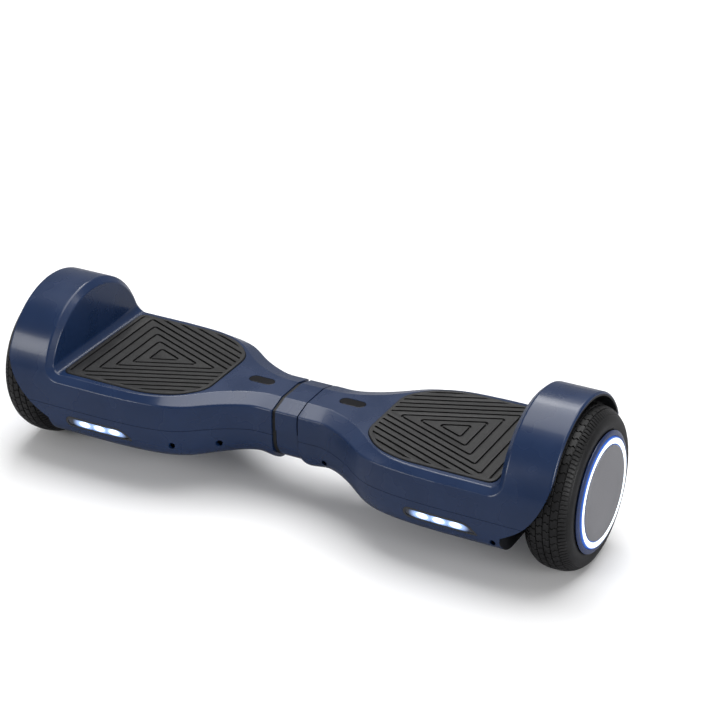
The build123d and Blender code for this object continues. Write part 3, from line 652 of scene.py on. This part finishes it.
def buildBlock(row, pitch):
    # one tread block laid flat: x across the tread, y along it
    bm = bmesh.new()
    width = row["to"] - row["from"]
    places = [0.0, 0.36, 0.64, 1.0]
    sway = [0.0, row["wave"], -row["wave"], 0.0]
    verts = [bm.verts.new(((row["from"] + width * share) * mm, shift * mm - (pitch - tyre["gap"]) / 2, 0))
             for share, shift in zip(places, sway)]
    edges = [bm.edges.new(pair) for pair in zip(verts, verts[1:])]
    widened = bmesh.ops.extrude_edge_only(bm, edges=edges)
    bmesh.ops.translate(bm, verts=[item for item in widened["geom"] if isinstance(item, bmesh.types.BMVert)],
                        vec=(0, pitch - tyre["gap"], 0))
    raised = bmesh.ops.extrude_face_region(bm, geom=list(bm.faces))
    top = [item for item in raised["geom"] if isinstance(item, bmesh.types.BMVert)]
    bmesh.ops.translate(bm, verts=top, vec=(0, 0, tyre["treadDepth"] + tyre["rootDepth"]))
    lids = [item for item in raised["geom"] if isinstance(item, bmesh.types.BMFace)]
    rim = [e for e in bm.edges if sum(f in lids for f in e.link_faces) == 1]
    bmesh.ops.bevel(bm, geom=rim, offset=tyre["blockBevel"], offset_type="OFFSET", segments=1, profile=0.5,
                    affect="EDGES", material=-1)
    return bm


def wrapBlocks(row, sign):
    # bend one block onto the tread, then copy it round the axle
    pitch = math.tau / row["count"]
    bm = buildBlock(row, pitch * tyre["pitchRadius"])
    for vert in bm.verts:
        radius, slope = profileAt(vert.co.x / mm)
        lift = vert.co.z - tyre["treadDepth"] - tyre["rootDepth"]
        reach = radius * mm + lift * math.cos(slope)
        turn = row["turn"] * pitch + vert.co.y / tyre["pitchRadius"]
        x = tyre["centreX"] + vert.co.x + lift * math.sin(slope)
        vert.co = (sign * x, reach * math.sin(turn), tyre["axleZ"] + reach * math.cos(turn))
    block = list(bm.verts) + list(bm.edges) + list(bm.faces)
    bmesh.ops.spin(bm, geom=block, cent=(0, 0, tyre["axleZ"]), axis=(1, 0, 0), angle=math.tau - pitch,
                   steps=row["count"] - 1, use_merge=False, use_duplicate=True)
    return bm


def buildTyre(side, sign):
    bm = bmesh.new()
    buildTyreBody(bm, sign)
    passing = bpy.data.meshes.new("oneRow")
    for row in tyre["rows"]:
        blocks = wrapBlocks(row, sign)
        blocks.to_mesh(passing)
        blocks.free()
        bm.from_mesh(passing)
    bpy.data.meshes.remove(passing)
    bmesh.ops.recalc_face_normals(bm, faces=bm.faces)
    return makePiece("treaded_tyre_" + side, bm, "tyre", side + "_wheel", (side + "_tyre",), 40)


for side, sign in sides.items():
    buildTyre(side, sign)
print("tyres ready")


# ---- wheel faces
wheelFace = {
    "steps": 160,
    "rim_ring": {"slot": "rim_blue", "bevel": 0.35,
                 "profile": [(303.4, 54.4), (303.4, 52.7), (308.6, 52.7), (309.2, 53.2), (309.2, 54.6),
                             (308.7, 56.4),
                             (307.6, 57.9), (306.9, 57.9), (306.7, 54.6)]},
    "light_ring": {"slot": "light_white", "bevel": 0.2,
                   "profile": [(303.1, 45.4), (303.1, 52.3), (309.8, 52.3), (310.35, 51.3), (310.6, 49.5),
                               (310.6, 48.0),
                               (310.3, 46.4), (309.9, 45.4)]},
    "hub_disc": {"slot": "disc_grey", "bevel": 0.25,
                 "profile": [(303.1, 40.2), (303.1, 44.9), (310.8, 44.9), (311.15, 44.5), (311.4, 43.6),
                             (311.45, 30),
                             (311.5, 0), (308.6, 0), (308.6, 40.2)]},
}


def spinPiece(profile, sign, steps):
    bm = bmesh.new()
    axleZ = tyre["axleZ"]
    verts = [bm.verts.new((sign * x * mm, 0, axleZ + r * mm)) for x, r in profile]
    edges = [bm.edges.new(pair) for pair in zip(verts, verts[1:] + verts[:1])
             if not (abs(pair[0].co.z - axleZ) < 1e-7 and abs(pair[1].co.z - axleZ) < 1e-7)]
    bmesh.ops.spin(bm, geom=verts + edges, cent=(0, 0, axleZ), axis=(1, 0, 0), angle=math.tau, steps=steps,
                   use_merge=True, use_duplicate=False)
    bmesh.ops.remove_doubles(bm, verts=bm.verts, dist=1e-6)
    bmesh.ops.recalc_face_normals(bm, faces=bm.faces)
    return bm


for side, sign in sides.items():
    for part in ("rim_ring", "light_ring", "hub_disc"):
        shape = wheelFace[part]
        bm = spinPiece(shape["profile"], sign, wheelFace["steps"])
        piece = makePiece("turned_" + part + "_" + side, bm, shape["slot"], side + "_wheel",
                          (side + "_" + part,), 38)
        bevelEdges(piece, shape["bevel"] * mm, 2, 35)
print("wheel faces ready")
